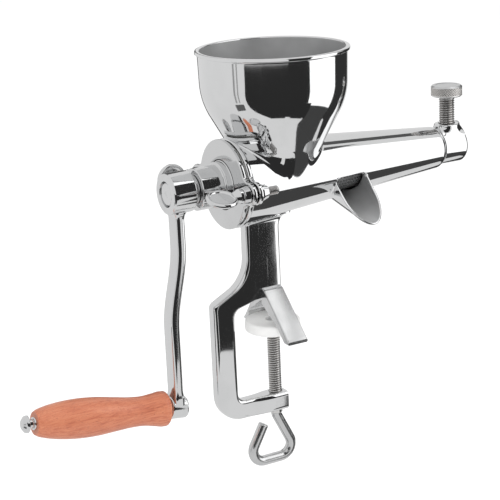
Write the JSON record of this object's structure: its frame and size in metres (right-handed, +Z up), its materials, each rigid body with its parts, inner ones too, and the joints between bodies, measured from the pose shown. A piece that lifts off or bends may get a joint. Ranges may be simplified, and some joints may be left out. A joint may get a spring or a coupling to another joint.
{
  "type": "hand-cranked auger mill",
  "caption": "Polished steel hand mill: round hopper over a tapered auger barrel, slanted side spout, pressure screw, bent crank with a wooden grip, and a screw clamp for a table edge.",
  "frame": {"origin": "on the clamp screw's axis, in the plane where the upper jaw's feet meet the table top", "axes": "+X along the barrel to the small outlet end, +Z up, juice spout towards -Y, crank at -X"},
  "size_m": [0.3672, 0.108, 0.309],
  "materials": {
    "polished_steel": "mirror polished",
    "satin_steel": "satin",
    "white_plastic": "moulded, slightly glossy",
    "nylon": "plain",
    "bronze": "machined",
    "grey_rubber": "plain",
    "black_rubber": "plain",
    "grip_wood": "turned and lacquered"
  },
  "bodies": {
    "mill_body": {"clamp_frame": "polished_steel", "jaw_foot_near": "polished_steel", "jaw_foot_far": "polished_steel", "barrel": "polished_steel", "hopper": "polished_steel", "juice_spout": "polished_steel", "body_flange": "polished_steel", "cover_gasket": "grey_rubber", "cover_plate": "polished_steel", "outer_bush": "bronze", "inner_bush": "bronze", "shaft_seal": "black_rubber", "thrust_washer": "nylon", "strainer": "satin_steel", "strainer_ring": "satin_steel", "outlet_ring": "satin_steel", "outlet_cap": "polished_steel", "weld_nut_near": "satin_steel", "weld_nut_far": "satin_steel"},
    "crank": {"auger": "satin_steel", "crank_arm": "polished_steel", "crank_screw": "polished_steel", "crank_washer": "satin_steel", "grip_spindle": "polished_steel", "grip_washer": "satin_steel"},
    "grip": {"wooden_grip": "grip_wood"},
    "pad": {"pressure_pad": "white_plastic"},
    "clamp_screw": {"clamp_screw": "satin_steel", "pad_screw": "satin_steel"},
    "plug": {"pressure_plug": "satin_steel"},
    "adjusting_screw": {"adjusting_screw": "satin_steel"},
    "near_collar": {"thumb_collar_near": "satin_steel"},
    "near_thumb_screw": {"thumb_screw_near": "polished_steel"},
    "far_collar": {"thumb_collar_far": "satin_steel"},
    "far_thumb_screw": {"thumb_screw_far": "polished_steel"}
  },
  "joints": [
    {"name": "crank_turn", "type": "hinge", "parent": "mill_body", "child": "crank", "pos_m": [-0.07, 0, 0.113], "axis": [1, 0, 0], "continuous": true},
    {"name": "grip_spin", "type": "hinge", "parent": "crank", "child": "grip", "pos_m": [-0.0815, 0, -0.042], "axis": [-0.9914, 0, 0.1305], "continuous": true},
    {"name": "pad_travel", "type": "slide", "parent": "mill_body", "child": "pad", "axis": [0, 0, 1], "range_m": [-0.045, 0.002]},
    {"name": "clamp_screw_turn", "type": "hinge", "parent": "pad", "child": "clamp_screw", "pos_m": [0, 0, -0.03], "axis": [0, 0, 1], "range_deg": [-10900, 600]},
    {"name": "plug_travel", "type": "slide", "parent": "mill_body", "child": "plug", "axis": [0, 0, 1], "range_m": [-0.01, 0.003]},
    {"name": "adjusting_screw_turn", "type": "hinge", "parent": "plug", "child": "adjusting_screw", "pos_m": [0.15808, 0, 0.14], "axis": [0, 0, 1], "range_deg": [-2200, 700]},
    {"name": "near_collar_travel", "type": "slide", "parent": "mill_body", "child": "near_collar", "axis": [-1, 0, 0], "range_m": [0, 0.006]},
    {"name": "near_thumb_screw_turn", "type": "hinge", "parent": "near_collar", "child": "near_thumb_screw", "pos_m": [-0.045, -0.0366, 0.113], "axis": [-1, 0, 0], "range_deg": [-60, 2220]},
    {"name": "far_collar_travel", "type": "slide", "parent": "mill_body", "child": "far_collar", "axis": [-1, 0, 0], "range_m": [0, 0.006]},
    {"name": "far_thumb_screw_turn", "type": "hinge", "parent": "far_collar", "child": "far_thumb_screw", "pos_m": [-0.045, 0.0366, 0.113], "axis": [-1, 0, 0], "range_deg": [-60, 2220]}
  ],
  "couplings": [
    {"joint": "clamp_screw_turn", "follows": "pad_travel", "rad_per_m": 4188.8},
    {"joint": "adjusting_screw_turn", "follows": "plug_travel", "rad_per_m": 3590.4},
    {"joint": "near_thumb_screw_turn", "follows": "near_collar_travel", "rad_per_m": 6283.2},
    {"joint": "far_thumb_screw_turn", "follows": "far_collar_travel", "rad_per_m": 6283.2}
  ]
}
